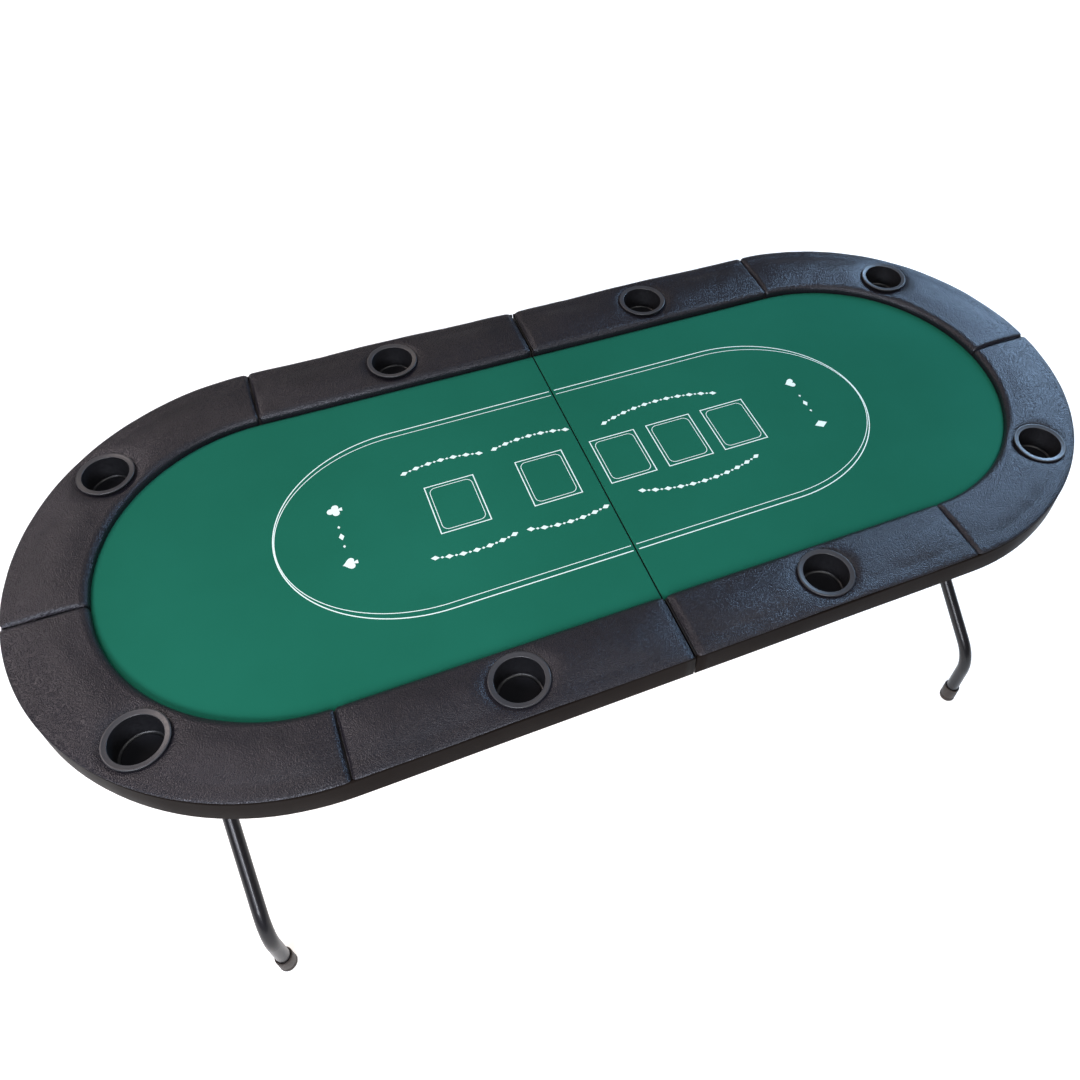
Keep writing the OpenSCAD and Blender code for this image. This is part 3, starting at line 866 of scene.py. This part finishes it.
def cup_profile():
    """Section of a cup holder: under its floor, up the outside, over the rim, down the bore."""
    bore, out = BORE_R, CUP_OUT_R
    z1, z0 = RIM_TOP, CUP_LO.z
    under = PAD_HI.z - DIMPLE + 0.0012
    pts = [(0.0, z0), (out - 0.004, z0)] + arc_points(out - 0.003, z0 + 0.003, 0.003, -90, 0, 4)
    pts += [(out, under), (RIM_R - 0.0012, under)]
    pts += arc_points(RIM_R - 0.0014, z1 - 0.0016, 0.0016, 0, 90, 5)
    pts += [(RIM_R - 0.0030, z1 - 0.0001), (RIM_R - 0.0048, z1 - 0.0007), (RIM_R - 0.0066, z1 - 0.0009)]
    pts += [(bore + 0.0016, z1 - 0.0012)] + arc_points(bore + 0.0014, z1 - 0.0026, 0.0014, 100, 180, 5)
    pts += [(bore, z0 + 0.0090), (bore - 0.0006, z0 + 0.0080)]
    pts += arc_points(bore - 0.0046, z0 + 0.0062, 0.0040, 0, -90, 6)
    pts += [(bore - 0.0070, z0 + 0.0022), (0.0, z0 + 0.0022)]
    return pts


def dedupe(profile):
    """The profile without points that repeat the one before."""
    out = [profile[0]]
    for p in profile[1:]:
        if abs(p[0] - out[-1][0]) + abs(p[1] - out[-1][1]) > 1e-6:
            out.append(p)
    return out


def mat_profile():
    """Section of the mat on a cup's floor, with its raised lip."""
    z = CUP_LO.z + 0.0024
    return [(0.0, z), (0.0338, z), (0.0346, z + 0.0005), (0.0346, z + 0.0016),
            (0.0336, z + 0.0020), (0.0325, z + 0.0012), (0.0, z + 0.0010)]


def build_cup(which, centre, half, sign):
    at = Matrix.Translation((sign * centre.x, centre.y, 0))
    verts, faces = lathe(dedupe(cup_profile()), 112, at)
    make(f"cup_holder_{which}_{half}", verts, faces, CUP_PLASTIC, f"half_{half}",
         replaces=[f"cup_{which}_{half}"])
    verts, faces = lathe(mat_profile(), 72, at)
    make(f"cup_mat_{which}_{half}", verts, faces, CUP_MAT, f"half_{half}")


for half, sign in HALVES:
    for which, centre in CUPS.items():
        build_cup(which, centre, half, sign)


# ---- rubber feet, on the leg frame's lean and cut level with the floor ----
LEG_X, LEG_Z = 0.835, 0.696           # pivot of a leg frame
FOOT_X, FOOT_Y = 0.795, 0.402         # where a foot meets the floor


def foot_profile(length):
    """Section of a foot's cap, which ends a little below the floor until it is cut level."""
    low = -length - 0.004
    pts = [(0.0, low), (0.0125, low)] + arc_points(0.0125, low + 0.0055, 0.0055, -75, 0, 6)
    pts += [(0.0178, low + 0.0120), (0.0171, low + 0.0132), (0.0171, low + 0.0148),
            (0.0178, low + 0.0160), (0.0176, low + 0.0340)]
    pts += arc_points(0.0156, low + 0.0440, 0.0020, 0, 80, 5)
    pts += [(0.0144, low + 0.0458), (0.0144, low + 0.0100), (0.0, low + 0.0100)]
    return pts


def build_feet(half, sign):
    """Both rubber caps of a leg frame, as one piece."""
    lean = math.atan2(LEG_X - FOOT_X, LEG_Z)
    length = LEG_Z / math.cos(lean)
    verts, faces = [], []
    for y in (-FOOT_Y, FOOT_Y):
        at = Matrix.Translation((sign * LEG_X, 0, LEG_Z)) @ Matrix.Rotation(sign * lean, 4, "Y") \
            @ Matrix.Translation((0, y, 0))
        v, f = lathe(foot_profile(length), 64, at)
        faces += [tuple(i + len(verts) for i in q) for q in f]
        verts += [Vector((p.x, p.y, max(p.z, 0.0))) for p in v]
    make(f"foot_caps_{half}", verts, faces, RUBBER, f"leg_{half}",
         replaces=[f"feet_{half}"])


def build_fold_facing(half, sign):
    """A thin dark strip on the board's edge inside the fold: partly a binding, partly painted shade for
    the fold's gap.
    """
    x1, x0 = FOLD_X - 0.0001, FOLD_X - 0.0005
    z0, z1 = SKIRT_LO.z + 0.004, FELT_TOP - 0.0036
    half_w = SKIRT_R - 0.0055
    rings = []
    n = 60
    for i in range(n + 1):
        y = half_w * (2 * i / n - 1)
        rings.append([Vector((sign * x, y, z)) for x, z in ((x0, z0), (x0, z1), (x1, z1), (x1, z0))])
    verts, faces = loft(rings)
    make(f"fold_binding_and_shade_{half}", verts, faces, VINYL, f"half_{half}")


for half, sign in HALVES:
    build_feet(half, sign)
    build_fold_facing(half, sign)


# ---- stage: floor, light and camera ----
FLOOR_HALF = 14.0
GLOW_FROM_TO = (1.8, 3.4, 0.54, 0.98)  # distances, and the floor's glow at them


def floor():
    """A pale floor that fades to white away from the table, like a cut-out picture."""
    bm = bmesh.new()
    bmesh.ops.create_grid(bm, x_segments=1, y_segments=1, size=FLOOR_HALF)
    me = bpy.data.meshes.new("floor")
    bm.to_mesh(me)
    bm.free()
    obj = bpy.data.objects.new("floor", me)
    bpy.context.scene.collection.objects.link(obj)
    m, nt, bsdf = material("pale_floor", (0.82, 0.82, 0.82), 0.9, Specular_IOR_Level=0.1,
                           Emission_Color=(1, 1, 1, 1))
    coord = nt.nodes.new("ShaderNodeTexCoord")
    far = node(nt, "ShaderNodeVectorMath", operation="LENGTH")
    nt.links.new(coord.outputs["Object"], far.inputs[0])
    map_range(nt, far.outputs["Value"], bsdf.inputs["Emission Strength"], *GLOW_FROM_TO)
    me.materials.append(m)


# name: place, aim, size, power, colour
LIGHTS = {
    "key": ((-2.0, -1.85, 2.4), (-0.5, -0.3, 0.6), 0.6, 50, (0.87, 0.90, 1.0)),
    "front": ((-1.1, -2.3, 2.1), (-0.6, -0.35, 0.75), 0.7, 40, (0.88, 0.91, 1.0)),
    "top": ((0.3, -1.5, 4.4), (0.1, 0, 0.7), 2.0, 50, (1.0, 1.0, 1.0)),
    "window": ((3.2, 1.3, 2.3), (0.9, 0, 0.7), 1.4, 34, (0.44, 0.68, 1.0)),
    "near_window": ((2.2, 0.9, 1.75), (0.95, 0, 0.76), 0.7, 24, (0.44, 0.68, 1.0)),
    "far_warm": ((-0.4, 2.9, 2.9), (-0.4, 0.4, 0.76), 1.0, 10, (1.0, 0.83, 0.68)),
    "warm": ((-2.3, 1.3, 3.2), (-0.6, 0, 0.7), 1.3, 46, (1.0, 0.85, 0.81))}


def area_light(name, at, aim, size, power, color):
    light = bpy.data.lights.new(name, "AREA")
    light.shape, light.size, light.energy, light.color = "SQUARE", size, power, color
    obj = bpy.data.objects.new(name, light)
    obj.location = at
    obj.rotation_euler = (Vector(aim) - Vector(at)).to_track_quat("-Z", "Y").to_euler()
    bpy.context.scene.collection.objects.link(obj)


# The camera as fitted to the photo
CAMERA_AT = (-0.5245, -1.2239, 2.2387)
CAMERA_FORWARD = (0.2993, 0.6230, -0.7226)
CAMERA_RIGHT, CAMERA_UP = (0.9014, -0.4330, 0.0), (0.3129, 0.6513, 0.6912)  # before its roll
CAMERA_ROLL = math.radians(3.46)
SENSOR_MM, LENS_MM = 36.0, 34.3
LENS_SHIFT = (-0.0764, -0.1016)


def camera():
    data = bpy.data.cameras.new("camera")
    data.sensor_width, data.lens = SENSOR_MM, LENS_MM
    data.shift_x, data.shift_y = LENS_SHIFT
    obj = bpy.data.objects.new("camera", data)
    bpy.context.scene.collection.objects.link(obj)
    forward = Vector(CAMERA_FORWARD).normalized()
    right = (Vector(CAMERA_RIGHT) * math.cos(CAMERA_ROLL)
             + Vector(CAMERA_UP) * math.sin(CAMERA_ROLL)).normalized()
    up = right.cross(forward).normalized()
    turn = Matrix((right, up, -forward)).transposed()
    obj.matrix_world = Matrix.Translation(CAMERA_AT) @ turn.to_4x4()
    bpy.context.scene.camera = obj


floor()
bpy.context.scene.view_settings.view_transform = "Standard"
world = bpy.data.worlds.new("studio")
world.use_nodes = True
world.node_tree.nodes["Background"].inputs["Color"].default_value = (0.95, 0.97, 1.0, 1)
world.node_tree.nodes["Background"].inputs["Strength"].default_value = 0.16
bpy.context.scene.world = world
for light_name, values in LIGHTS.items():
    area_light(light_name, *values)
camera()
